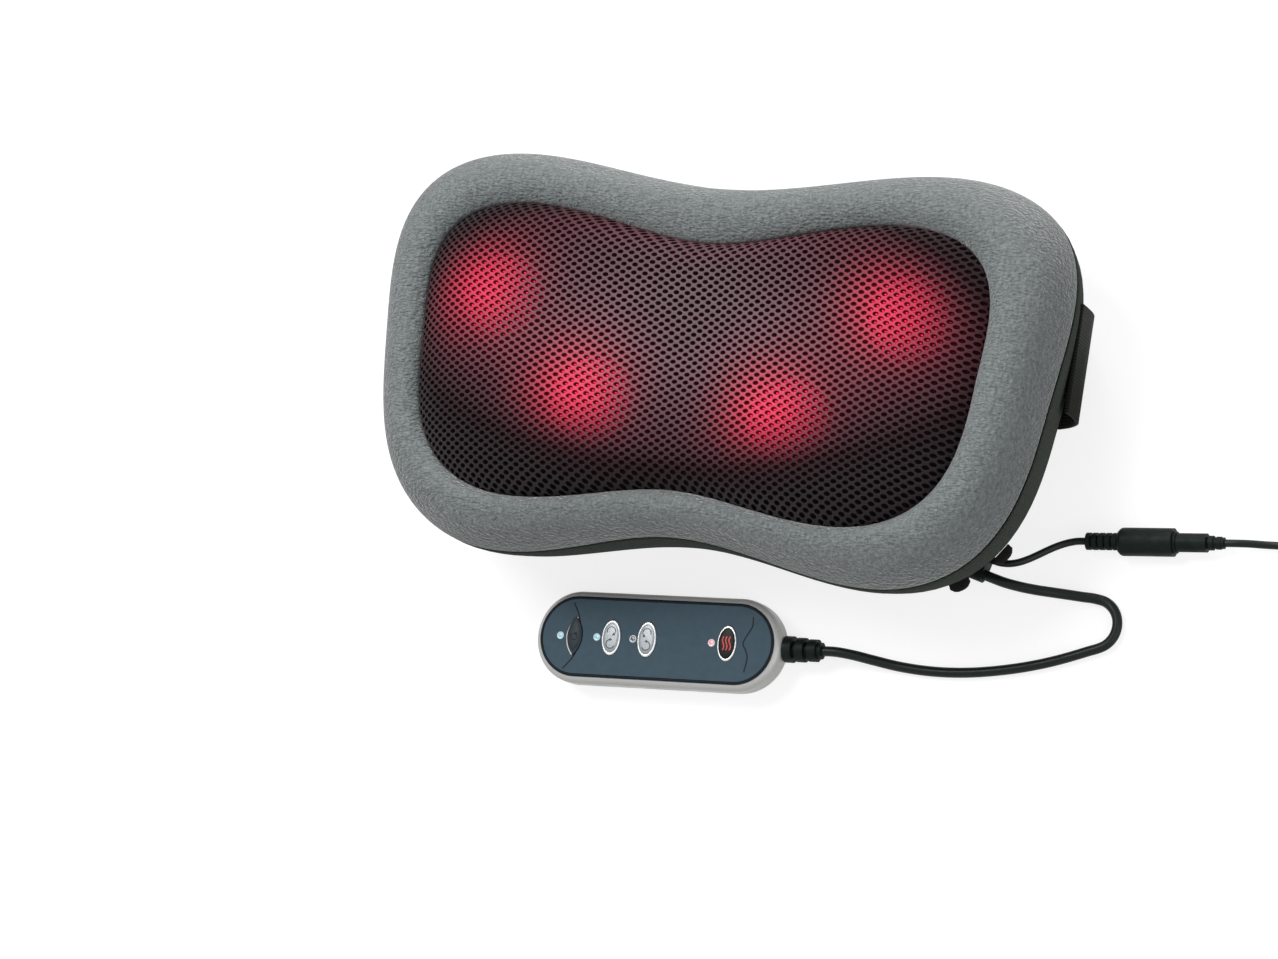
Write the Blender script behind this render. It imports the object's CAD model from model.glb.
import math

import bmesh
import bpy
import numpy as np
from mathutils import Matrix, Vector


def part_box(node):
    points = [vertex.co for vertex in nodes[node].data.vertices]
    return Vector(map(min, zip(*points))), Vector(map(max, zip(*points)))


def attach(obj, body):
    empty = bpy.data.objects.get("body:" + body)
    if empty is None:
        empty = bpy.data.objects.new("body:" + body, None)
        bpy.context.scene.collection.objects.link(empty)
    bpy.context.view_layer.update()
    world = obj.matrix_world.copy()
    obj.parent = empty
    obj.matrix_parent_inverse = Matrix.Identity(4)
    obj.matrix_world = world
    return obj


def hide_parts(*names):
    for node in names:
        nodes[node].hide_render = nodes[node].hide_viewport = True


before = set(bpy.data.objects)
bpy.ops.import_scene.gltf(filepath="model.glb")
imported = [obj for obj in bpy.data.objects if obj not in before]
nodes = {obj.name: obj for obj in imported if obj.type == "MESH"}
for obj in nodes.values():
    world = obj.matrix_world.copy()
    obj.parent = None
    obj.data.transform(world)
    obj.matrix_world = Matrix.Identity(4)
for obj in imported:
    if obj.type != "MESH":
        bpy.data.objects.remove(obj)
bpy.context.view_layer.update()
scene = bpy.context.scene

# The view: the pillow lies on its back and is seen from above, a little from its right end
# and its lower edge, through a long lens that keeps the outline almost free of perspective.
eye = Vector((0.83842, -0.33894, 1.84387))
aim = Vector((-0.02966, -0.05753, 0.060))
upright = Vector((-0.07284, 0.97298, 0.21910))
look = (aim - eye).normalized()
side = look.cross(upright).normalized()
lens = bpy.data.cameras.new("view")
lens.sensor_width = 36
lens.lens = 116.56
lens.clip_end = 20
camera = bpy.data.objects.new("view", lens)
scene.collection.objects.link(camera)
camera_turn = Matrix((side, side.cross(look), -look)).transposed()
camera.matrix_world = Matrix.Translation(eye) @ camera_turn.to_4x4()
scene.camera = camera
scene.view_settings.view_transform = "Standard"


# The room: a pale table top and a white surround, lit by a soft lamp from the upper left,
# a lower one from beyond the upper edge and a weak one from the right, all plain white.
def add(tree, kind, settings=(), **properties):
    made = tree.nodes.new("ShaderNode" + kind)
    for key, value in properties.items():
        setattr(made, key, value)
    for key, value in dict(settings).items():
        made.inputs[key].default_value = value
    return made


def seen_directly(tree):
    path = add(tree, "LightPath")
    either = add(tree, "Math", operation="MAXIMUM")
    all_three = add(tree, "Math", operation="MAXIMUM")
    tree.links.new(path.outputs["Is Camera Ray"], either.inputs[0])
    tree.links.new(path.outputs["Is Glossy Ray"], either.inputs[1])
    tree.links.new(either.outputs[0], all_three.inputs[0])
    tree.links.new(path.outputs["Is Transmission Ray"], all_three.inputs[1])
    return all_three.outputs[0]


room = bpy.data.worlds.new("room")
scene.world = room
room.use_nodes = True
sky = room.node_tree.nodes["Background"]
backdrop = add(room.node_tree, "Background", {"Color": (1, 1, 1, 1), "Strength": 1.0})
sky.inputs["Color"].default_value = (1, 1, 1, 1)
sky.inputs["Strength"].default_value = 0.32
pick = add(room.node_tree, "MixShader")
room.node_tree.links.new(seen_directly(room.node_tree), pick.inputs[0])
room.node_tree.links.new(sky.outputs[0], pick.inputs[1])
room.node_tree.links.new(backdrop.outputs[0], pick.inputs[2])
room.node_tree.links.new(pick.outputs[0], room.node_tree.nodes["World Output"].inputs["Surface"])

table_mesh = bmesh.new()
bmesh.ops.create_grid(table_mesh, x_segments=1, y_segments=1, size=6)
bmesh.ops.translate(table_mesh, verts=table_mesh.verts, vec=(0, 0, -0.0004))
table_data = bpy.data.meshes.new("table_top")
table_mesh.to_mesh(table_data)
table_mesh.free()
table_top = bpy.data.objects.new("table_top", table_data)
scene.collection.objects.link(table_top)
pale = bpy.data.materials.new("pale_table")
pale.use_nodes = True
pale_skin = pale.node_tree.nodes["Principled BSDF"]
pale_skin.inputs["Base Color"].default_value = (0.35, 0.35, 0.35, 1)
pale_skin.inputs["Roughness"].default_value = 0.9
pale_skin.inputs["Specular IOR Level"].default_value = 0.1
pale_lift = add(pale.node_tree, "Emission", {"Color": (1, 1, 1, 1), "Strength": 0.78})
pale_sum = add(pale.node_tree, "AddShader")
pale_pick = add(pale.node_tree, "MixShader")
links = pale.node_tree.links
links.new(pale_skin.outputs[0], pale_sum.inputs[0])
links.new(pale_lift.outputs[0], pale_sum.inputs[1])
links.new(seen_directly(pale.node_tree), pale_pick.inputs[0])
links.new(pale_skin.outputs[0], pale_pick.inputs[1])
links.new(pale_sum.outputs[0], pale_pick.inputs[2])
links.new(pale_pick.outputs[0], pale.node_tree.nodes["Material Output"].inputs["Surface"])
table_data.materials.append(pale)


def lamp(name, place, size, watts):
    light = bpy.data.lights.new(name, "AREA")
    light.size = size
    light.energy = watts
    holder = bpy.data.objects.new(name, light)
    scene.collection.objects.link(holder)
    holder.location = place
    holder.rotation_mode = "QUATERNION"
    holder.rotation_quaternion = (Vector(place) - Vector((0, 0, 0.05))).to_track_quat("Z", "Y")


lamp("key_lamp", (-1.1, 0.95, 2.6), 1.4, 56)
lamp("top_lamp", (-0.3, 2.2, 1.2), 1.0, 24)
lamp("fill_lamp", (1.6, -0.5, 1.0), 1.2, 10)


# The cords: black round PVC leads. One joins the pillow to the handset, a short tail ends in an
# inline socket, and the supply's lead runs out of sight and is stored as a tied coil.
def finish_of(name, colour, rough, sockets=()):
    material = bpy.data.materials.new(name)
    material.use_nodes = True
    skin = material.node_tree.nodes["Principled BSDF"]
    skin.inputs["Base Color"].default_value = (*colour, 1)
    skin.inputs["Roughness"].default_value = rough
    for socket, value in dict(sockets).items():
        skin.inputs[socket].default_value = value
    return material


def place_on(tree, stretch=(1, 1, 1), shift=(0, 0, 0)):
    where = add(tree, "TexCoord")
    turned = add(tree, "Mapping", {"Scale": stretch, "Location": shift})
    tree.links.new(where.outputs["Object"], turned.inputs["Vector"])
    return turned.outputs["Vector"]


def mottle(material, tones, size, detail=3.0, stretch=(1, 1, 1)):
    """Colour that wanders between the tones over patches of that size."""
    tree = material.node_tree
    cloud = add(tree, "TexNoise", {"Scale": 1 / size, "Detail": detail, "Roughness": 0.6})
    ramp = add(tree, "ValToRGB")
    ramp.color_ramp.elements[0].position = 0.3
    ramp.color_ramp.elements[1].position = 0.7
    for stop, tone in zip(ramp.color_ramp.elements, tones):
        stop.color = (*tone, 1)
    tree.links.new(place_on(tree, stretch), cloud.inputs["Vector"])
    tree.links.new(cloud.outputs["Fac"], ramp.inputs["Fac"])
    tree.links.new(ramp.outputs["Color"], tree.nodes["Principled BSDF"].inputs["Base Color"])
    return ramp


def grain(material, size, depth, strength=0.5, detail=2.0, stretch=(1, 1, 1)):
    """Fine bumps of that size and depth."""
    tree = material.node_tree
    cloud = add(tree, "TexNoise", {"Scale": 1 / size, "Detail": detail})
    bump = add(tree, "Bump", {"Strength": strength, "Distance": depth})
    tree.links.new(place_on(tree, stretch), cloud.inputs["Vector"])
    tree.links.new(cloud.outputs["Fac"], bump.inputs["Height"])
    tree.links.new(bump.outputs["Normal"], tree.nodes["Principled BSDF"].inputs["Normal"])


def uneven_gloss(material, low, high, size):
    """Roughness that varies between two values over patches of that size."""
    tree = material.node_tree
    cloud = add(tree, "TexNoise", {"Scale": 1 / size, "Detail": 2.0})
    spread = add(tree, "MapRange", {"From Min": 0.3, "From Max": 0.7, "To Min": low, "To Max": high})
    tree.links.new(place_on(tree), cloud.inputs["Vector"])
    tree.links.new(cloud.outputs["Fac"], spread.inputs["Value"])
    tree.links.new(spread.outputs["Result"], tree.nodes["Principled BSDF"].inputs["Roughness"])


cord_pvc = finish_of("cord_pvc", (0.008, 0.012, 0.011), 0.34, {"Specular IOR Level": 0.18})
mottle(cord_pvc, ((0.006, 0.0095, 0.0085), (0.011, 0.016, 0.0145)), 0.006)
grain(cord_pvc, 0.0007, 0.00005, 0.25)
uneven_gloss(cord_pvc, 0.28, 0.44, 0.01)


def run_of_cord(name, points, diameter, steps):
    """A round cord through the points, whose way at each one leans to the nearer neighbour."""
    line = bpy.data.curves.new(name, "CURVE")
    line.dimensions = "3D"
    line.bevel_depth = diameter / 2
    line.bevel_resolution = 3
    line.use_fill_caps = True
    line.resolution_u = steps
    run = line.splines.new("BEZIER")
    run.bezier_points.add(len(points) - 1)
    for i, knot in enumerate(run.bezier_points):
        into = points[i] - points[max(i - 1, 0)]
        onward = points[min(i + 1, len(points) - 1)] - points[i]
        way = into.normalized() * onward.length + onward.normalized() * into.length
        way = (way + (into + onward) * 1e-6).normalized()
        knot.co = points[i]
        knot.handle_left_type = knot.handle_right_type = "FREE"
        knot.handle_left = points[i] - way * into.length / 3
        knot.handle_right = points[i] + way * onward.length / 3
    made = bpy.data.objects.new(name, line)
    scene.collection.objects.link(made)
    line.materials.append(cord_pvc)
    return made


def mm(*values):
    return Vector(values) / 1000


handset_cord_d, tail_d, lead_d = 0.005, 0.0035, 0.0037
handset_route = [mm(*p) for p in (
    (138.99, -81.27, 20), (142.85, -82.31, 20), (149.5, -83.9, 19.3), (156.5, -84.8, 17.2),
    (163.5, -85.1, 13.9), (170.5, -85, 10.4), (177, -84.9, 7.4), (183.5, -84.9, 4.9), (190, -85, 3.3),
    (195.1, -86.1, 2.6), (199.1, -89.1, 2.6), (201.5, -93.5, 2.6), (201.9, -98.5, 2.6), (200.4, -103, 2.6),
    (197.6, -106.3, 2.6), (194.5, -108.1, 2.6), (190, -109.9, 2.6), (184, -112.4, 2.6), (175, -115.9, 2.6),
    (162, -120.1, 2.6), (146, -124, 2.6), (128, -126.9, 2.6), (110, -127.9, 2.6), (95, -127.3, 3.4),
    (83, -126, 6), (73, -124.9, 8.8), (64.35, -124.52, 10), (58.36, -124.86, 10))]
handset_cord = run_of_cord("handset_cord_run", handset_route, handset_cord_d, 6)
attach(handset_cord, "pillow")
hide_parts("handset_cord")

tail_route = [mm(*p) for p in (
    (141.01, -73.73, 20), (145.5, -74.7, 19.8), (150, -74.6, 19), (154.1, -73.3, 17.5),
    (157.8, -71.1, 15.5), (161.3, -68.4, 13.3), (164.9, -65.5, 11.2), (168.8, -62.7, 9.2),
    (173.1, -60.4, 7.6), (177.5, -59, 6.9), (182, -58.5, 6.8))]
tail_cord = run_of_cord("supply_tail_run", tail_route, tail_d, 6)
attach(tail_cord, "pillow")
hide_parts("supply_tail")

coil_middle = mm(316, -23.5)
coil_radius, coil_pitch, coil_turns, coil_layers = 0.0275, 0.0042, 3, 4
coil_floor = 0.00285
layer_span = coil_turns * 360


def coil_point(turned):
    """The point after that many degrees: inwards in one layer, up a layer and outwards again."""
    folded = turned % (2 * layer_span)
    folded = min(folded, 2 * layer_span - folded)
    nearest = math.floor(turned / layer_span + 0.5)
    off = turned - nearest * layer_span
    if nearest <= 0 or nearest >= coil_layers:
        layer = min(coil_layers - 1, math.floor(turned / layer_span))
    elif abs(off) >= 90:
        layer = nearest - 1 + (off > 0)
    else:
        layer = nearest - 1 + (1 + math.sin(math.radians(off))) / 2
    radius = coil_radius - coil_pitch * folded / 360
    bearing = math.radians(turned - 90)
    x = coil_middle.x + radius * math.cos(bearing)
    y = coil_middle.y + radius * math.sin(bearing)
    return Vector((x, y, coil_floor + coil_pitch * layer))


lead_route = [mm(*p) for p in (
    (249.84, -53.16, 6.8), (254.83, -52.77, 6.8), (261.5, -52.1, 5.2), (268, -51.7, 3.6),
    (276, -51.3, 2.9), (288, -51.05, 2.85), (301, -51, 2.85), (309, -51, 2.85))]
lead_route += [coil_point(15 * i) for i in range(coil_layers * coil_turns * 24)]
lead_route += [mm(x, -51, 15.45) for x in (316, 324, 332)]
lead_cord = run_of_cord("supply_lead_run", lead_route, lead_d, 3)
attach(lead_cord, "supply")
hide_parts("supply_lead", "supply_coil")

# The dark cover of the back: a knitted fabric on thin foam, sewn from a flat base and a wall that
# flares out to the seam. The seam climbs along the lower edge, and a channel takes the strap.
pillow_w, block_h = 0.350, 0.234
waist_in, waist_reach = 0.030, 0.106
side_lean, corner_power = math.radians(6.6), 3.4
crown_in, crown_z, girth_z = 0.020, 0.093, 0.058
seam_top, seam_climb, seam_waist_climb = -12, 15, 16
around = 176


def rim_point(turn, inset):
    """A point of the waisted outline, drawn in by the inset, in the direction of that turn."""
    half_w, half_h = pillow_w / 2 - inset, block_h / 2 - inset
    across, up = abs(math.cos(turn)) / half_w, abs(math.sin(turn)) / half_h
    reach = (across**corner_power + up**corner_power) ** (-1 / corner_power)
    x, y = reach * math.cos(turn), reach * math.sin(turn)
    lean = 1 + 2 * math.tan(side_lean) * y / pillow_w
    waist = 1 - 2 * waist_in / block_h * math.exp(-((x / waist_reach) ** 2))
    return x * lean, y * waist


def arc_point(angle):
    """The inset and height on the ring's outer round, from its widest line at 0 to its crown."""
    return crown_in * (1 - math.cos(angle)), girth_z + (crown_z - girth_z) * math.sin(angle)


def seam_angle(turn):
    """The seam lies low along the upper edge and climbs at the lower one, most at its waist."""
    down = min(1.0, max(0.0, (0.55 - math.sin(turn)) / 0.65))
    climb = seam_climb * down**2 * (3 - 2 * down)
    waist = seam_waist_climb * max(0.0, -math.sin(turn)) ** 10
    return math.radians(seam_top + climb + waist)


wall_turn = math.radians(-24)
wall_foot_in, wall_foot_z = arc_point(wall_turn)
back_in, wall_bow, cover_t = 0.027, 1.6, 0.0022
base_in, base_inner_in, base_t = back_in + 0.001, back_in + 0.004, 0.0045


def wall_inset(z):
    """How far the wall lies inside the outline at a height, curving in to the back."""
    return wall_foot_in + (back_in - wall_foot_in) * (1 - min(z, wall_foot_z) / wall_foot_z) ** wall_bow


turns = [2 * math.pi * k / around for k in range(around)]


def rim_loop(inset, z, share=1.0):
    """The outline at an inset and a height, drawn together to a share of its size."""
    return [(share * x, share * y, z) for x, y in (rim_point(t, inset) for t in turns)]


def loft(loops):
    """A ring of vertices, grown from each loop of points to the next and numbered in that order."""
    made = bmesh.new()
    ring = bmesh.ops.create_circle(made, cap_ends=False, segments=len(loops[0]), radius=1)["verts"]
    for vert, point in zip(ring, loops[0]):
        vert.co = point
    placed = list(ring)
    for loop in loops[1:]:
        on_ring = set(ring)
        near = dict.fromkeys(e for v in ring for e in v.link_edges)
        rim = [e for e in near if on_ring.issuperset(e.verts)]
        grown = bmesh.ops.extrude_edge_only(made, edges=rim)["geom"]
        fresh = {g for g in grown if isinstance(g, bmesh.types.BMVert)}
        ring = [next(e.other_vert(v) for e in v.link_edges if e.other_vert(v) in fresh) for v in ring]
        for vert, point in zip(ring, loop):
            vert.co = point
        placed += ring
    for number, vert in enumerate(placed):
        vert.index = number

    def rank(part):
        numbers = [v.index for v in part.verts]
        return min(numbers) * len(placed) + max(numbers)

    made.verts.sort()
    made.edges.sort(key=rank)
    made.faces.sort(key=rank)
    return made


def close_up(mesh):
    """Merges loops that meet, fills open ends and turns every face outwards."""
    bmesh.ops.remove_doubles(mesh, verts=mesh.verts, dist=1e-6)
    bmesh.ops.holes_fill(mesh, edges=mesh.edges, sides=0)
    bmesh.ops.recalc_face_normals(mesh, faces=mesh.faces)


def piece(name, mesh, material, body):
    """An object of the mesh, smooth and in one material, that rides on a body."""
    data = bpy.data.meshes.new(name)
    mesh.to_mesh(data)
    mesh.free()
    data.materials.append(material)
    data.polygons.foreach_set("use_smooth", [True] * len(data.polygons))
    made = bpy.data.objects.new(name, data)
    scene.collection.objects.link(made)
    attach(made, body)
    return made


knit = finish_of("dark_knit", (0.026, 0.031, 0.026), 0.92,
                 {"Sheen Weight": 0.04, "Sheen Roughness": 0.5, "Specular IOR Level": 0.04})
mottle(knit, ((0.027, 0.034, 0.028), (0.083, 0.096, 0.084)), 0.0009, 2.0, (1, 1, 2.2))
grain(knit, 0.0008, 0.0004, 0.6, 1.0, (1, 1, 2.5))

base_shares = (0.02, 0.25, 0.5, 0.75, 0.95)
wall_heights = (0.0, 0.0006, 0.0018, 0.004, 0.008, 0.013, 0.018, 0.024, 0.030, 0.036, 0.040)
wall_shares = (0, 0.2, 0.4, 0.6, 0.8, 0.93, 1.0)
inner_heights = (0.0428, 0.034, 0.024, 0.012, base_t)
seam_sink, edge_turn_in = 0.0006, 0.0024
cover_loops = [rim_loop(base_in, 0, share) for share in base_shares]
cover_loops += [rim_loop(wall_inset(z), z) for z in wall_heights]
for share in wall_shares:
    loop = []
    for t in turns:
        inset, z = arc_point(wall_turn + (seam_angle(t) - wall_turn) * share)
        sunk = seam_sink * max(0.0, (share - 0.9) / 0.1)
        loop.append((*rim_point(t, inset + sunk), z))
    cover_loops.append(loop)
inner_edge = []
for t in turns:
    inset, z = arc_point(seam_angle(t))
    inner_edge.append((*rim_point(t, inset + cover_t), z - edge_turn_in))
cover_loops.append(inner_edge)
cover_loops += [rim_loop(wall_inset(z) + cover_t, z) for z in inner_heights]
cover_loops += [rim_loop(base_inner_in, base_t, share) for share in (0.75, 0.02)]
cover_mesh = loft(cover_loops)
close_up(cover_mesh)
strap_y, strap_w, strap_t = 0.021, 0.052, 0.0018
channel_h, channel_w, channel_floor_w, channel_slope = 0.0021, 0.060, 0.059, 0.0006
for edge_y in (strap_y - channel_w / 2, strap_y + channel_w / 2):
    for step in (-channel_slope, channel_slope):
        everything = cover_mesh.verts[:] + cover_mesh.edges[:] + cover_mesh.faces[:]
        bmesh.ops.bisect_plane(cover_mesh, geom=everything, dist=1e-6, plane_co=(0, edge_y + step, 0),
                               plane_no=(0, 1, 0))
for vert in cover_mesh.verts:
    if vert.co.z < channel_h and abs(vert.co.y - strap_y) < channel_floor_w / 2:
        vert.co.z = channel_h
back_cover = piece("back_cover_knit", cover_mesh, knit, "pillow")
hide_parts("back_cover")

# The strap: a wide black elastic with ribs along its length. It lies in the channel of the back,
# comes up around both ends and is sewn to the wall just under the seam.
elastic = finish_of("ribbed_elastic", (0.013, 0.015, 0.012), 0.8,
                    {"Sheen Weight": 0.06, "Specular IOR Level": 0.05})
weave = elastic.node_tree
ribs = add(weave, "TexWave", {"Scale": 200, "Distortion": 0.4, "Detail": 1.0}, bands_direction="Y")
rib_tones = add(weave, "ValToRGB")
rib_tones.color_ramp.elements[0].color = (0.010, 0.0115, 0.009, 1)
rib_tones.color_ramp.elements[1].color = (0.019, 0.022, 0.0175, 1)
rib_bump = add(weave, "Bump", {"Strength": 0.4, "Distance": 0.0004})
elastic_skin = weave.nodes["Principled BSDF"]
weave.links.new(place_on(weave), ribs.inputs["Vector"])
weave.links.new(ribs.outputs["Fac"], rib_tones.inputs["Fac"])
weave.links.new(ribs.outputs["Fac"], rib_bump.inputs["Height"])
weave.links.new(rib_tones.outputs["Color"], elastic_skin.inputs["Base Color"])
weave.links.new(rib_bump.outputs["Normal"], elastic_skin.inputs["Normal"])


def through(points, steps):
    """A smooth line through points, with that many steps between each two."""
    made = []
    last = len(points) - 1
    for i in range(last):
        a, b, c, d = (points[max(0, i - 1)], points[i], points[i + 1], points[min(last, i + 2)])
        for k in range(steps):
            u = k / steps
            bend = (2 * a - 5 * b + 4 * c - d) * u**2
            twist = (3 * b - a - 3 * c + d) * u**3
            made.append(0.5 * (2 * b + (c - a) * u + bend + twist))
    made.append(points[last])
    return made


def ribbon(line, across):
    """A strip grown from an edge that is drawn along a line."""
    made = bmesh.new()
    ends = [made.verts.new(line[0] - across / 2), made.verts.new(line[0] + across / 2)]
    edge = made.edges.new(ends)
    for before, after in zip(line, line[1:]):
        grown = bmesh.ops.extrude_edge_only(made, edges=[edge])["geom"]
        moved = [g for g in grown if isinstance(g, bmesh.types.BMVert)]
        bmesh.ops.translate(made, verts=moved, vec=after - before)
        edge = next(e for e in moved[0].link_edges if e.other_vert(moved[0]) is moved[1])
    return made


half_strap = [mm(x, strap_y * 1000, z) for x, z in (
    (0, 0.9), (60, 0.9), (120, 0.9), (153.4, 1.1), (159.9, 3.2), (167.6, 10.6), (173.5, 20), (176.2, 30),
    (177.2, 40), (177.7, 48))]
strap_line = [Vector((-p.x, p.y, p.z)) for p in half_strap[:0:-1]] + half_strap
strap_mesh = ribbon(through(strap_line, 4), Vector((0, strap_w, 0)))
bmesh.ops.recalc_face_normals(strap_mesh, faces=strap_mesh.faces)
strap = piece("elastic_strap", strap_mesh, elastic, "pillow")


def thicken(made, thickness):
    wall = made.modifiers.new("thickness", "SOLIDIFY")
    wall.thickness = thickness
    wall.offset = 0


thicken(strap, strap_t)
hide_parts("strap")

# The hard housing and the drive's frame: black ABS mouldings with a fine spark texture, screwed
# together inside the fabric. The chassis, gear cover, hubs and arms are of the same plastic.
housing_black = finish_of("housing_black", (0.02, 0.02, 0.022), 0.5)
mottle(housing_black, ((0.015, 0.015, 0.017), (0.026, 0.026, 0.028)), 0.02)
grain(housing_black, 0.0006, 0.00006, 0.35)
uneven_gloss(housing_black, 0.42, 0.6, 0.015)


def dress(material, *names):
    """Gives the material to pieces that keep the shape of their solid."""
    for name in names:
        held = nodes[name]
        if not held.material_slots:
            held.data.materials.append(material)
        for pocket in held.material_slots:
            pocket.material = material


dress(housing_black, "back_shell", "front_shell", "chassis", "gear_cover", "drive_hub_left",
      "drive_hub_right", "arm_left", "arm_right")

# The metal of the drive: bright steel for the motor, shaft, worms, spindles and screws, sintered
# bronze for bushes and bearings, and copper for the tracks and brushes that feed the lamps.
bright_steel = finish_of("bright_steel", (0.50, 0.51, 0.53), 0.32, {"Metallic": 1.0})
mottle(bright_steel, ((0.44, 0.45, 0.47), (0.56, 0.57, 0.59)), 0.004, 3.0, (1, 6, 6))
uneven_gloss(bright_steel, 0.24, 0.42, 0.005)
dress(bright_steel, "shell_screws", "motor_can", "motor_clamp", "motor_shaft", "worm_left", "worm_right",
      "spindles", "arm_screws_left", "arm_screws_right", "spindle_nuts", "gear_cover_screws",
      "handset_screws", "adapter_pins")
sintered = finish_of("sintered_bronze", (0.42, 0.26, 0.10), 0.42, {"Metallic": 1.0})
mottle(sintered, ((0.36, 0.21, 0.08), (0.48, 0.31, 0.13)), 0.0012)
grain(sintered, 0.0004, 0.00004, 0.4)
dress(sintered, "shaft_bearings", "bush_left", "bush_right")
track_copper = finish_of("track_copper", (0.62, 0.28, 0.14), 0.3, {"Metallic": 1.0})
mottle(track_copper, ((0.52, 0.21, 0.10), (0.68, 0.33, 0.18)), 0.006)
dress(track_copper, "slip_ring_left", "slip_ring_right", "brush_blocks")

# The worm wheels and the motor's caps are milky nylon, and the boards are green glass fibre.
# All of them are hidden once the housing and the handset are closed.
milky_nylon = finish_of("milky_nylon", (0.66, 0.65, 0.60), 0.42,
                        {"Subsurface Weight": 0.1, "Subsurface Scale": 0.002})
mottle(milky_nylon, ((0.60, 0.59, 0.54), (0.70, 0.69, 0.64)), 0.01)
dress(milky_nylon, "motor_end_caps", "worm_wheel_left", "worm_wheel_right")
board_lacquer = finish_of("board_lacquer", (0.01, 0.09, 0.035), 0.3)
mottle(board_lacquer, ((0.007, 0.065, 0.025), (0.016, 0.13, 0.05)), 0.0025)
grain(board_lacquer, 0.0008, 0.00003, 0.4)
dress(board_lacquer, "control_board", "handset_board", "lamp_boards_left", "lamp_boards_right")

# The heads: hollow red balls of clear-tinted plastic, two on each arm. A lamp inside lights them,
# so they glow most towards the top and dim down to the neck.
lit_red = finish_of("lit_red", (0.45, 0.012, 0.04), 0.3, {"Emission Color": (0.86, 0.03, 0.14, 1)})
glow = lit_red.node_tree
neck_z, head_top_z, brightest = 0.079, 0.093, 11.0
height = add(glow, "SeparateXYZ")
glow_rise = add(glow, "MapRange", {"From Min": neck_z, "From Max": head_top_z, "To Max": brightest})
glow.links.new(place_on(glow), height.inputs[0])
glow.links.new(height.outputs["Z"], glow_rise.inputs["Value"])
glow.links.new(glow_rise.outputs["Result"], glow.nodes["Principled BSDF"].inputs["Emission Strength"])
mottle(lit_red, ((0.38, 0.009, 0.03), (0.52, 0.016, 0.05)), 0.006)
dress(lit_red, "heads_left", "heads_right")

# The padded ring: grey velour over foam, one closed tube that is sewn to the dark cover on its
# outside and turned under around the window. The cloth is blown up, and pinned at its seams.
velour = finish_of("grey_velour", (0.21, 0.23, 0.23), 0.95,
                   {"Sheen Weight": 0.8, "Sheen Roughness": 0.3, "Specular IOR Level": 0.1})
mottle(velour, ((0.15, 0.17, 0.171), (0.285, 0.308, 0.308)), 0.0015, 3.0, (1, 0.55, 1))
grain(velour, 0.0022, 0.0022, 1.0, 2.5, (1, 2.0, 1))
ring_w, ring_drop, lip_h, hem_w = 0.029, 0.0055, 0.0026, 0.008
upper_growth, lobe_loss = 0.0135, 0.005
seat_in, seat_z, seat_gap = 0.0121, 0.0823, 0.0003
round_steps, slope_steps = 16, 7
seam_gap = math.radians(0.7)
lip_gap = 0.0001


def window_inset(turn):
    """The ring is widest at the middle of its upper edge and a little narrower under the lobes."""
    upper, lower = max(0.0, math.sin(turn)), max(0.0, -math.sin(turn))
    return ring_w + upper_growth * upper**4 - lobe_loss * lower * (1 - lower**8)


def ring_section(turn):
    """Insets and heights from the seam over the crown to the window's lip, and back under the ring."""
    start = seam_angle(turn) + seam_gap
    lip_in = window_inset(turn) - lip_gap
    made = [arc_point(start + (math.pi / 2 - start) * k / round_steps) for k in range(round_steps + 1)]
    for k in range(1, slope_steps + 1):
        share = k / slope_steps
        made.append((crown_in + (lip_in - crown_in) * share, crown_z - ring_drop * share**2))
    made += [(lip_in, crown_z - ring_drop - lip_h), (lip_in, seat_z)]
    made += [(lip_in - hem_w, seat_z), (seat_in, seat_z), (seat_in, min(made[0][1], seat_z - seat_gap))]
    return made


sections = [ring_section(t) for t in turns]
ring_loops = [[(*rim_point(t, inset), z) for t, (inset, z) in zip(turns, cut)] for cut in zip(*sections)]
ring_mesh = loft(ring_loops + [ring_loops[0]])
close_up(ring_mesh)
free_loops = ring_loops[1:round_steps + slope_steps]
free = {tuple(round(c, 6) for c in point) for loop in free_loops for point in loop}
plush = piece("plush_ring_velour", ring_mesh, velour, "pillow")
resting = [v.co.copy() for v in plush.data.vertices]
sewn = plush.vertex_groups.new(name="sewn")
sewn.add([i for i, c in enumerate(resting) if tuple(round(x, 6) for x in c) not in free], 1.0, "REPLACE")
stuffing_frames, most_swell = 20, 0.0025
stuffing = plush.modifiers.new("stuffing", "CLOTH")
stuffing.settings.quality = 6
stuffing.settings.use_pressure = True
stuffing.settings.uniform_pressure_force = 4
stuffing.settings.vertex_group_mass = "sewn"
stuffing.settings.effector_weights.gravity = 0
stuffing.point_cache.frame_start = 1
stuffing.point_cache.frame_end = stuffing_frames
for frame_number in range(1, stuffing_frames + 1):
    scene.frame_set(frame_number)
blown = plush.evaluated_get(bpy.context.evaluated_depsgraph_get())
moved = [v.co.copy() for v in blown.data.vertices]
plush.modifiers.remove(stuffing)
scene.frame_set(1)
for vert, start, end in zip(plush.data.vertices, resting, moved):
    push = end - start
    vert.co = start + push * min(1.0, most_swell / max(push.length, 1e-9))
soften = plush.modifiers.new("soften", "SUBSURF")
soften.levels = soften.render_levels = 1
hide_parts("plush_ring")

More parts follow.
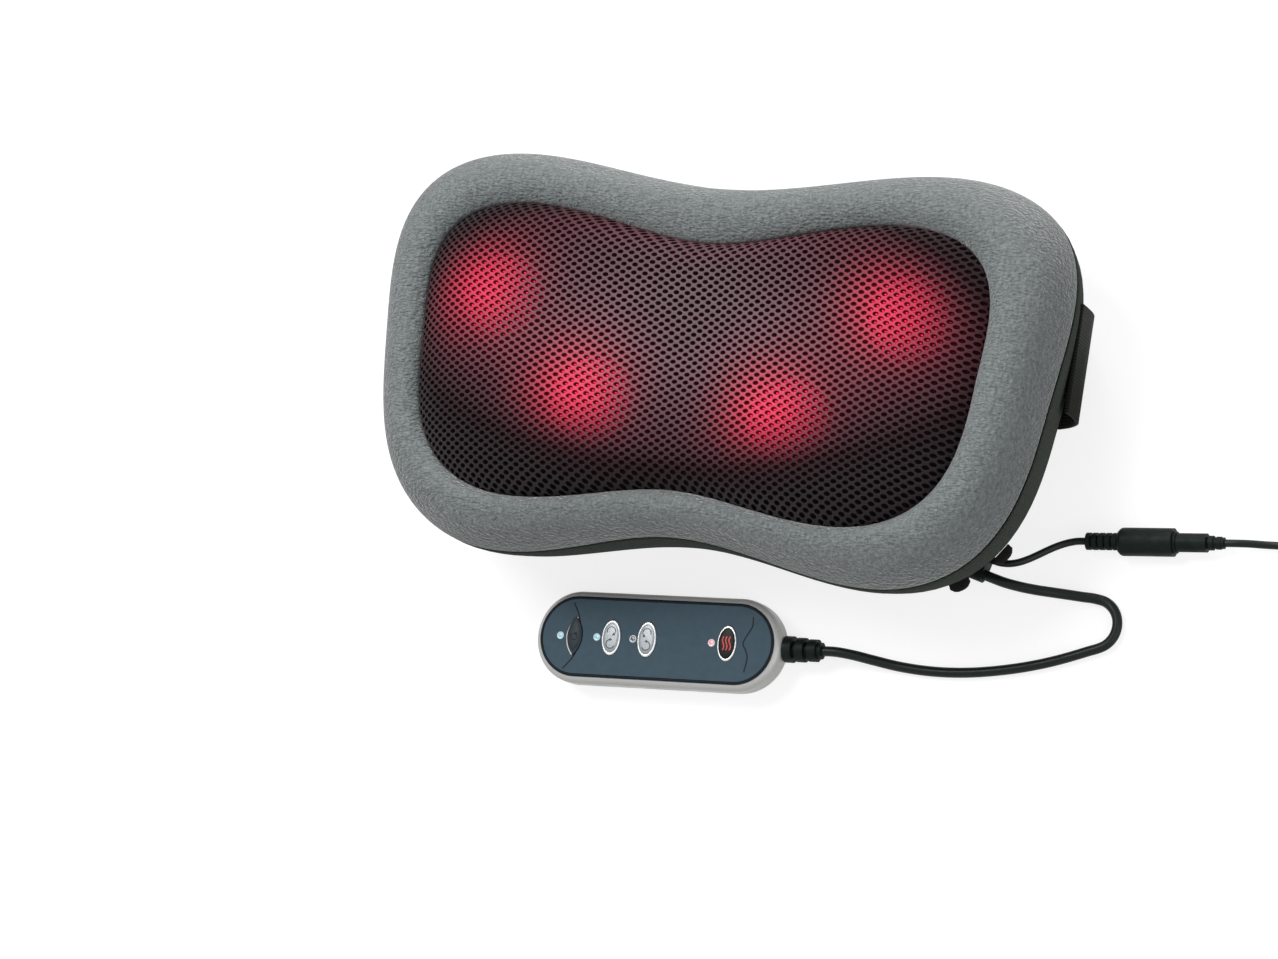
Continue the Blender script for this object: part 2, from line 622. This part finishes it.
# The net: a black spacer knit with oval holes, stretched in two lobes over the heads and sewn in
# around the window. It is lighter where it is stretched, and glows where a lamp is close behind.
net_knit = finish_of("net_knit", (0.09, 0.08, 0.084), 0.8,
                     {"Sheen Weight": 0.12, "Specular IOR Level": 0.14})
yarn = mottle(net_knit, ((0.7, 0.7, 0.7), (1.25, 1.25, 1.25)), 0.0006)
grain(net_knit, 0.0005, 0.0003, 0.7)
net_tree = net_knit.node_tree
stretch_w, stretch_h, stretch_y = 0.2, 0.088, 0.012


def towards_middle(tree):
    """From 0 at the sewn edge to 1 at the middle of the window, a little above its centre."""
    lobes = add(tree, "TexGradient", gradient_type="SPHERICAL")
    oval_place = place_on(tree, (1 / stretch_w, 1 / stretch_h, 0), (0, -stretch_y / stretch_h, 0))
    tree.links.new(oval_place, lobes.inputs["Vector"])
    return lobes.outputs["Fac"]


stretched = add(net_tree, "ValToRGB")
stretched.color_ramp.elements[0].position = 0.22
stretched.color_ramp.elements[0].color = (0.024, 0.017, 0.019, 1)
stretched.color_ramp.elements[1].position = 0.8
stretched.color_ramp.elements[1].color = (0.38, 0.28, 0.31, 1)
tinted = add(net_tree, "MixRGB", {0: 1.0}, blend_type="MULTIPLY")
net_tree.links.new(towards_middle(net_tree), stretched.inputs["Fac"])
net_tree.links.new(stretched.outputs["Color"], tinted.inputs[1])
net_tree.links.new(yarn.outputs["Color"], tinted.inputs[2])
net_tree.links.new(tinted.outputs["Color"], net_tree.nodes["Principled BSDF"].inputs["Base Color"])
net_inside = finish_of("net_inside", (0.004, 0.003, 0.0033), 0.9, {"Specular IOR Level": 0.02})
mottle(net_inside, ((0.003, 0.0022, 0.0025), (0.0055, 0.0045, 0.005)), 0.0006)
scrim = finish_of("net_scrim", (0.006, 0.005, 0.005), 0.95, {"Specular IOR Level": 0.02})
mottle(scrim, ((0.004, 0.0035, 0.0035), (0.009, 0.008, 0.008)), 0.0005)


def let_through(material, colour, scattered, clear):
    """Shares of light that the cloth scatters and lets straight through, both less near its edge."""
    tree = material.node_tree
    soft = add(tree, "BsdfTranslucent", {"Color": (*colour, 1)})
    lit = add(tree, "MixShader")
    straight = add(tree, "BsdfTransparent", {"Color": (1, 0.45, 0.55, 1)})
    both = add(tree, "MixShader")
    for mixed, share, low, high in ((lit, scattered, 0.06, 0.36), (both, clear, 0.2, 0.48)):
        hem = add(tree, "MapRange", {"From Min": low, "From Max": high, "To Max": share})
        tree.links.new(towards_middle(tree), hem.inputs["Value"])
        tree.links.new(hem.outputs["Result"], mixed.inputs[0])
    tree.links.new(tree.nodes["Principled BSDF"].outputs[0], lit.inputs[1])
    tree.links.new(soft.outputs[0], lit.inputs[2])
    tree.links.new(lit.outputs[0], both.inputs[1])
    tree.links.new(straight.outputs[0], both.inputs[2])
    tree.links.new(both.outputs[0], tree.nodes["Material Output"].inputs["Surface"])


let_through(net_knit, (0.95, 0.65, 0.8), 0.6, 0.0)
let_through(net_inside, (0.7, 0.1, 0.2), 0.08, 0.0)
let_through(scrim, (0.85, 0.45, 0.55), 0.06, 0.2)

cell_w, cell_h, cell_flat, cell_point = 0.0058, 0.0039, 0.000794, 0.002105
hole_w, hole_h = 0.00265, 0.0018
hole_mouth, hole_floor = 1.2, 0.42
mouth_depth, hole_depth = 0.00018, 0.0014


def hole_loop(share, depth):
    """An oval of the hole at a share of its size, from its upper point."""
    half_w, half_h = share * hole_w / 2, share * hole_h / 2
    bearings = [math.pi * (0.5 + k / 4) for k in range(8)]
    return [(half_w * math.cos(a), half_h * math.sin(a), -depth) for a in bearings]


cell_up = cell_h / 2
cell_edge = [(0, cell_up, 0), (-cell_flat, cell_up, 0), (-cell_point, 0, 0), (-cell_flat, -cell_up, 0),
             (0, -cell_up, 0), (cell_flat, -cell_up, 0), (cell_point, 0, 0), (cell_flat, cell_up, 0)]
net = loft([hole_loop(hole_floor, hole_depth), hole_loop(hole_mouth, mouth_depth), cell_edge])
for facet in net.faces:
    facet.material_index = int(min(v.co.z for v in facet.verts) < -hole_depth / 2)


def repeat_net(step):
    """Doubles the net, with its copy moved by a step."""
    copied = bmesh.ops.duplicate(net, geom=net.verts[:] + net.edges[:] + net.faces[:])["geom"]
    bmesh.ops.translate(net, verts=[g for g in copied if isinstance(g, bmesh.types.BMVert)], vec=step)


net_doublings = 6
half_count = 2**net_doublings / 2
repeat_net((cell_w / 2, cell_h / 2, 0))
for doubling in range(net_doublings):
    repeat_net((cell_w * 2**doubling, 0, 0))
for doubling in range(net_doublings):
    repeat_net((0, cell_h * 2**doubling, 0))
bmesh.ops.translate(net, verts=net.verts, vec=(-cell_w * half_count, -cell_h * half_count, 0))
bmesh.ops.remove_doubles(net, verts=net.verts, dist=1e-5)
net_gap, scrim_gap = 0.0003, 0.0005
window_turns = np.linspace(0, 2 * math.pi, 720, endpoint=False)
window = np.array([rim_point(t, window_inset(t) + net_gap) for t in window_turns])
bearing = np.unwrap(np.arctan2(window[:, 1], window[:, 0]))
reach = np.hypot(window[:, 0], window[:, 1])


def window_shares(mesh):
    """How far out each vertex lies, from 0 at the middle to 1 at the window's edge."""
    x, y = np.array([v.co.xy for v in mesh.verts]).T
    angle = np.mod(np.arctan2(y, x) - bearing[0], 2 * math.pi) + bearing[0]
    closed_bearing = np.append(bearing, bearing[0] + 2 * math.pi)
    return np.hypot(x, y) / np.interp(angle, closed_bearing, np.append(reach, reach[0]))


shares = window_shares(net)
outside = [f for f in net.faces if min(shares[v.index] for v in f.verts) > 0.998]
bmesh.ops.delete(net, geom=outside, context="FACES")
net_edge_z, net_rise, net_saddle, saddle_reach = 0.087, 0.01795, 0.006, 0.035


def net_height(x, share):
    """Steep at the sewn edge, nearly flat over the heads and a little lower between the lobes."""
    sink = net_saddle * math.exp(-((x / saddle_reach) ** 2)) * (1 - share)
    return net_edge_z + net_rise * (1 - share**10) - sink


for vert, share in zip(net.verts, window_shares(net)):
    within = min(share, 1.0)
    vert.co.xy *= within / max(share, 1e-9)
    vert.co.z += net_height(vert.co.x, within)
bmesh.ops.dissolve_degenerate(net, edges=net.edges, dist=1e-5)
bmesh.ops.recalc_face_normals(net, faces=net.faces)
net_panel = piece("net_panel", net, net_knit, "pillow")
net_panel.data.materials.append(net_inside)
scrim_shares = (0.03, 0.2, 0.4, 0.55, 0.68, 0.77, 0.84, 0.89, 0.93, 0.96, 0.98, 0.997)
scrim_depth = 0.0016
scrim_edge = [rim_point(t, window_inset(t) + scrim_gap) for t in turns]
scrim_loops = []
for share in scrim_shares:
    loop = [(share * x, share * y) for x, y in scrim_edge]
    scrim_loops.append([(x, y, net_height(x, share) - scrim_depth) for x, y in loop])
scrim_mesh = loft(scrim_loops)
middle_edges = [e for e in scrim_mesh.edges if e.is_boundary and e.verts[0].co.xy.length < 0.02]
bmesh.ops.holes_fill(scrim_mesh, edges=middle_edges, sides=0)
bmesh.ops.recalc_face_normals(scrim_mesh, faces=scrim_mesh.faces)
net_scrim = piece("net_scrim", scrim_mesh, scrim, "pillow")
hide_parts("mesh_panel")
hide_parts("mesh_panel")

# The cord exit: two short folded ribbon tabs sewn to the dark wall, and a soft rubber gland between
# them through which both cords leave.
tab_weave = finish_of("tab_weave", (0.014, 0.015, 0.014), 0.85,
                      {"Sheen Weight": 0.05, "Specular IOR Level": 0.1})
mottle(tab_weave, ((0.010, 0.011, 0.010), (0.022, 0.024, 0.022)), 0.0008)
grain(tab_weave, 0.0006, 0.0003, 0.6)
tab_w, tab_t, tab_reach, tab_round = 0.010, 0.0008, 0.0046, 0.0024
tab_z, tab_wall_in = 0.030, wall_inset(0.0312)
tab_fold = [mm(x, 0, z) for x, z in (
    (0.2, 0.8), (2.4, 0.8), (3.6, 0.75), (4.4, 0.45), (4.6, 0), (4.4, -0.45), (3.6, -0.75), (2.4, -0.8),
    (-0.3, -0.8))]


def join(meshes):
    """One mesh of several, in their order."""
    whole = bmesh.new()
    for part in meshes:
        spare = bpy.data.meshes.new("part")
        part.to_mesh(spare)
        part.free()
        whole.from_mesh(spare)
        bpy.data.meshes.remove(spare)
    return whole


def exit_tab(turn):
    """A ribbon folded over at its end, with rounded corners, that stands out from the wall."""
    foot = Vector((*rim_point(math.radians(turn), tab_wall_in), tab_z))
    ahead = Vector((*rim_point(math.radians(turn + 1), tab_wall_in), tab_z))
    facing = math.atan2(ahead.y - foot.y, ahead.x - foot.x) - math.pi / 2
    fold = ribbon(through(tab_fold, 3), Vector((0, tab_w, 0)))
    cross_edges = [e for e in fold.edges if abs(e.verts[0].co.y - e.verts[1].co.y) > 0.9 * tab_w]
    bmesh.ops.subdivide_edges(fold, edges=cross_edges, cuts=5)
    for vert in fold.verts:
        corner = (abs(vert.co.y) / (tab_w / 2)) ** 3
        vert.co.x -= tab_round * corner * min(1.0, max(0.0, vert.co.x / tab_reach))
    onto_wall = Matrix.Translation(foot) @ Matrix.Rotation(facing, 4, "Z")
    bmesh.ops.transform(fold, matrix=onto_wall, verts=fold.verts)
    return fold


tabs = piece("cord_exit_ribbons", join([exit_tab(326.7), exit_tab(335)]), tab_weave, "pillow")
thicken(tabs, tab_t)
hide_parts("cord_exit_tabs")
boot_rubber = finish_of("boot_rubber", (0.008, 0.013, 0.0115), 0.45, {"Specular IOR Level": 0.08})
mottle(boot_rubber, ((0.006, 0.010, 0.009), (0.011, 0.017, 0.015)), 0.005)
grain(boot_rubber, 0.0005, 0.00005, 0.4)
uneven_gloss(boot_rubber, 0.36, 0.56, 0.006)
dress(boot_rubber, "cord_gland", "handset_relief", "dc_socket", "dc_plug", "adapter_boot")

# The handset's shells: two halves of satin silver-painted ABS with round ends, screwed from below.
# The paint carries fine flakes, and its gloss varies a little.
silver_paint = finish_of("silver_paint", (0.50, 0.50, 0.485), 0.36,
                         {"Metallic": 0.12, "Coat Weight": 0.1, "Coat Roughness": 0.3})
mottle(silver_paint, ((0.45, 0.452, 0.44), (0.56, 0.56, 0.545)), 0.0005)
grain(silver_paint, 0.0004, 0.00002, 0.3)
uneven_gloss(silver_paint, 0.30, 0.44, 0.012)
dress(silver_paint, "handset_lower", "handset_upper")
fascia_low, fascia_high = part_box("fascia")
handset_middle = (fascia_low + fascia_high) / 2
fascia_top = fascia_high.z
handset_turn = math.radians(3.2)
to_handset = Matrix.Translation((handset_middle.x, handset_middle.y, 0))
on_handset = to_handset @ Matrix.Rotation(handset_turn, 4, "Z")

# The fascia: a slate-blue printed plate set into the rim. A dark line runs around it, another arcs
# past the power key and a wavy one crosses its right end.
slate_print = finish_of("slate_print", (0.048, 0.085, 0.113), 0.42, {"Specular IOR Level": 0.1})
mottle(slate_print, ((0.044, 0.079, 0.106), (0.052, 0.091, 0.120)), 0.004)
grain(slate_print, 0.0005, 0.00002, 0.3)
dress(slate_print, "fascia")
dark_print = finish_of("dark_print", (0.008, 0.011, 0.014), 0.45, {"Specular IOR Level": 0.1})
mottle(dark_print, ((0.006, 0.009, 0.012), (0.011, 0.015, 0.018)), 0.003)
grain(dark_print, 0.0005, 0.00002, 0.2)


def onto_handset(mesh):
    """Moves a mesh from the handset's own plan to where the handset lies."""
    bmesh.ops.transform(mesh, matrix=on_handset, verts=mesh.verts)
    return mesh


def stripe(points, width, lift):
    """A printed line through points in the handset's own plan, in mm."""
    line = through([mm(x, y, 0) for x, y in points], 6)
    made = bmesh.new()
    pair = None
    for i, spot in enumerate(line):
        along = (line[min(i + 1, len(line) - 1)] - line[max(i - 1, 0)]).normalized()
        out = Vector((-along.y, along.x, 0)) * width / 2
        fresh = [made.verts.new(spot + out), made.verts.new(spot - out)]
        if pair:
            made.faces.new((pair[0], pair[1], fresh[1], fresh[0]))
        pair = fresh
    bmesh.ops.translate(made, verts=made.verts, vec=(0, 0, lift))
    bmesh.ops.recalc_face_normals(made, faces=made.faces)
    return made


end_x, edge_outer, edge_inner = 0.043, 0.0199, 0.0186
edge_low, edge_high = fascia_top + 0.00002, fascia_top + 0.00012
print_z, arc_z = fascia_top + 0.00006, fascia_top + 0.00011
line_w, arc_w = 0.0007, 0.0009


def stadium(radius, z):
    """Two half circles about the centres of the handset's round ends."""
    made = []
    for k in range(96):
        a = 2 * math.pi * (k + 0.5) / 96
        middle = math.copysign(end_x, math.cos(a))
        made.append((middle + radius * math.cos(a), radius * math.sin(a), z))
    return made


edge_line = loft([stadium(edge_outer, edge_low), stadium(edge_outer, edge_high),
                  stadium(edge_inner, edge_high), stadium(edge_inner, edge_low)])
bmesh.ops.recalc_face_normals(edge_line, faces=edge_line.faces)
power_line = stripe(((-46.4, 16.6), (-43.2, 11), (-41.2, 4), (-41.2, -3), (-43.6, -10), (-48.8, -16.4)),
                    line_w, print_z)
wave_line = stripe(((50.8, 13.6), (50.9, 9.1), (48.2, 4), (46.8, 0.3), (48.6, -3), (49.7, -6), (49.4, -10),
                    (48.7, -13.6)), line_w, print_z)
all_lines = onto_handset(join([edge_line, power_line, wave_line]))
fascia_lines = piece("fascia_lines", all_lines, dark_print, "pillow")
arc_line = stripe(((-43.4, 9.3), (-46.6, 5.4), (-48.2, 0.2), (-47.2, -5.2), (-44.6, -9.3)), arc_w, arc_z)
silver_arc = piece("power_arc", onto_handset(arc_line), silver_paint, "pillow")

# The keys: moulded caps that stand a little proud of the fascia and are pressed down onto switches.
# Each oval has a bright border around a domed face; the power key is a dark almond.
key_silver = finish_of("key_silver", (0.27, 0.29, 0.305), 0.36, {"Metallic": 0.4})
mottle(key_silver, ((0.22, 0.24, 0.255), (0.32, 0.345, 0.36)), 0.0006)
grain(key_silver, 0.0004, 0.00002, 0.3)
key_border = finish_of("key_border", (0.66, 0.68, 0.69), 0.28, {"Metallic": 0.5})
mottle(key_border, ((0.60, 0.62, 0.63), (0.70, 0.72, 0.73)), 0.001)
key_dark = finish_of("key_dark", (0.014, 0.014, 0.012), 0.35, {"Specular IOR Level": 0.1})
mottle(key_dark, ((0.010, 0.010, 0.009), (0.020, 0.020, 0.018)), 0.002)
key_slate = finish_of("key_slate", (0.022, 0.034, 0.043), 0.38, {"Specular IOR Level": 0.15})
mottle(key_slate, ((0.018, 0.028, 0.036), (0.028, 0.041, 0.051)), 0.003)
grain(key_slate, 0.0004, 0.00002, 0.3)
oval_half, oval_tall, almond_half, almond_tall = 0.005, 0.0088, 0.004, 0.0095
cap_low, cap_rim, cap_top, cap_dome = 0.0152, 0.0196, 0.0199, 0.00022
face_share, border_share = 0.84, 0.89
power_x, knead_in_x, knead_out_x, heat_x = -44, -24, -4.6, 38.4


def oval_loop(scale, z):
    """The oval key's edge at a share of its size."""
    return [(oval_half * scale * math.cos(a), oval_tall * scale * math.sin(a), z)
            for a in (2 * math.pi * k / 48 for k in range(48))]


def almond_loop(scale, z):
    """Two arcs that meet in a tip above and below."""
    bow = (almond_tall**2 + almond_half**2) / (2 * almond_half)
    tip = math.atan2(almond_tall, bow - almond_half)
    made = []
    for way in (1, -1):
        for k in range(24):
            swing = (k / 24 - 0.5) * 2 * tip
            x, y = bow * math.cos(swing) - (bow - almond_half), bow * math.sin(swing)
            made.append((scale * way * x, scale * way * y, z))
    return made


def cap_height(share):
    """The domed face, highest at its middle."""
    return cap_top - cap_dome * (share / face_share) ** 2


def key_cap(name, loop, x, face, border, body, node):
    """A cap from its foot over a rounded border to the domed face."""
    border_loops = [loop(1, cap_low), loop(1, cap_rim - 0.0003), loop(0.985, cap_rim - 0.0001),
                    loop(0.95, cap_rim + 0.00005), loop(0.88, cap_rim + 0.00004),
                    loop(0.85, cap_rim - 0.00002)]
    made = loft(border_loops + [loop(share, cap_height(share)) for share in (0.82, 0.6, 0.35, 0.1)])
    close_up(made)
    bmesh.ops.translate(made, verts=made.verts, vec=(x / 1000, 0, 0))
    cap = piece(name, onto_handset(made), face, body)
    cap.data.materials.append(border)
    middle = on_handset @ Vector((x / 1000, 0, 0))
    for facet in cap.data.polygons:
        rim = (facet.center - middle).xy
        rim.rotate(Matrix.Rotation(-handset_turn, 2))
        if math.hypot(rim.x / oval_half, rim.y / oval_tall) > border_share:
            facet.material_index = 1
    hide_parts(node)


key_cap("power_cap", almond_loop, power_x, key_slate, key_slate, "power_key", "power_button")
key_cap("knead_in_cap", oval_loop, knead_in_x, key_silver, key_border,
        "knead_in_key", "knead_in_button")
key_cap("knead_out_cap", oval_loop, knead_out_x, key_silver, key_border,
        "knead_out_key", "knead_out_button")
key_cap("heat_cap", oval_loop, heat_x, key_dark, key_border, "heat_key", "heat_button")

# The marks on the keys are printed: a power sign, two curled arrows on each kneading key that run
# opposite ways, and three red waves for warmth.
mark_grey = finish_of("mark_grey", (0.045, 0.05, 0.055), 0.5)
mottle(mark_grey, ((0.038, 0.043, 0.048), (0.055, 0.06, 0.066)), 0.001)
mark_red = finish_of("mark_red", (0.55, 0.02, 0.018), 0.45,
                     {"Emission Color": (0.7, 0.01, 0.01, 1), "Emission Strength": 0.12})
mottle(mark_red, ((0.48, 0.016, 0.014), (0.62, 0.026, 0.022)), 0.001)
mark_lift, arrow_r = 0.00004, 0.00105
power_mark_w, curl_w, wave_w = 0.0004, 0.0005, 0.0006


def curl(x, y, radius, start, sweep, width):
    """A curled arrow: an arc of ribbon and a head at its end, in mm and degrees."""
    bearings = [math.radians(start + sweep * k / 10) for k in range(11)]
    made = stripe([(x + radius * math.cos(a), y + radius * math.sin(a)) for a in bearings], width, 0)
    end = bearings[-1]
    tip = bmesh.ops.create_circle(made, cap_ends=True, segments=3, radius=arrow_r)["verts"]
    aim_tip = end + (0 if sweep > 0 else math.pi)
    bmesh.ops.rotate(made, verts=tip, matrix=Matrix.Rotation(aim_tip, 3, "Z"))
    bmesh.ops.translate(made, verts=tip, vec=mm(x + radius * math.cos(end), y + radius * math.sin(end), 0))
    return made


def print_mark(name, meshes, x, material, body):
    """Lays flat marks on the domed face of the key at x."""
    made = join(meshes)
    for vert in made.verts:
        share = math.hypot(vert.co.x / oval_half, vert.co.y / oval_tall)
        vert.co.z = cap_height(share) + mark_lift
    bmesh.ops.recalc_face_normals(made, faces=made.faces)
    bmesh.ops.translate(made, verts=made.verts, vec=(x / 1000, 0, 0))
    mark = piece(name, onto_handset(made), material, body)


power_bar = stripe(((0, 0.2), (0, 1.0), (0, 1.8)), power_mark_w, 0)
print_mark("power_mark", [curl(0, -0.4, 1.7, 120, 300, power_mark_w), power_bar],
           power_x, dark_print, "power_key")
print_mark("knead_in_mark", [curl(0, 3.2, 2.2, 200, -250, curl_w), curl(0, -3.2, 2.2, 340, -250, curl_w)],
           knead_in_x, mark_grey, "knead_in_key")
print_mark("knead_out_mark", [curl(0, 3.2, 2.2, -20, 250, curl_w), curl(0, -3.2, 2.2, 200, 250, curl_w)],
           knead_out_x, mark_grey, "knead_out_key")
wave_step, wave_low, wave_rise, wave_bow = 1.75, -3.4, 0.755, 0.5
waves = []
for x in (-wave_step, 0, wave_step):
    bends = [(x + wave_bow * math.sin(k * math.pi / 4.5), wave_low + wave_rise * k) for k in range(10)]
    waves.append(stripe(bends, wave_w, 0))
print_mark("heat_mark", waves, heat_x, mark_red, "heat_key")

# The lamps' lenses: four clear domes in the fascia, each in a white ring. The first two are lit
# cyan, the third is out and the last is lit pink.
lens_ring = finish_of("lens_ring", (0.72, 0.73, 0.76), 0.3)
mottle(lens_ring, ((0.66, 0.67, 0.71), (0.78, 0.79, 0.81)), 0.0008)
cyan, unlit, pink = (0.12, 0.42, 0.52), (0.03, 0.045, 0.055), (0.78, 0.20, 0.22)
lens_looks = (("lens_power", -52, cyan, 0.55), ("lens_knead_in", -32, cyan, 0.55),
              ("lens_knead_out", -12.3, unlit, 0.0), ("lens_heat", 30, pink, 0.5))
lens_rings = ((1.9, 15.0), (1.9, 18.95), (1.8, 19.06), (1.45, 19.1), (1.35, 19.04), (0.9, 19.08),
              (0.3, 19.1))
lens_turns = [2 * math.pi * k / 24 for k in range(24)]
glass_r = 0.00138
for name, x, colour, shine in lens_looks:
    glass = finish_of(name + "_glass", colour, 0.15,
                      {"Emission Color": (*colour, 1), "Emission Strength": shine,
                       "Coat Weight": 0.4, "Coat Roughness": 0.1})
    mottle(glass, (tuple(0.88 * c for c in colour), tuple(min(1.0, 1.1 * c) for c in colour)), 0.001)
    dome = loft([[mm(r * math.cos(a), r * math.sin(a), z) for a in lens_turns] for r, z in lens_rings])
    close_up(dome)
    bmesh.ops.translate(dome, verts=dome.verts, vec=(x / 1000, 0, 0))
    lens_piece = piece(name, onto_handset(dome), glass, "pillow")
    lens_piece.data.materials.append(lens_ring)
    centre_spot = on_handset @ Vector((x / 1000, 0, 0))
    for facet in lens_piece.data.polygons:
        if (facet.center - centre_spot).xy.length > glass_r:
            facet.material_index = 1
    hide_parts("indicator_lenses")

# The supply: a black plug-in block with two steel pins, at the end of the lead. A woven tie holds
# the turns of the lead together.
supply_black = finish_of("supply_black", (0.016, 0.016, 0.017), 0.42)
mottle(supply_black, ((0.012, 0.012, 0.013), (0.022, 0.022, 0.023)), 0.012)
grain(supply_black, 0.0007, 0.00008, 0.5)
uneven_gloss(supply_black, 0.36, 0.52, 0.01)
dress(supply_black, "adapter_case")
dress(tab_weave, "coil_tie")
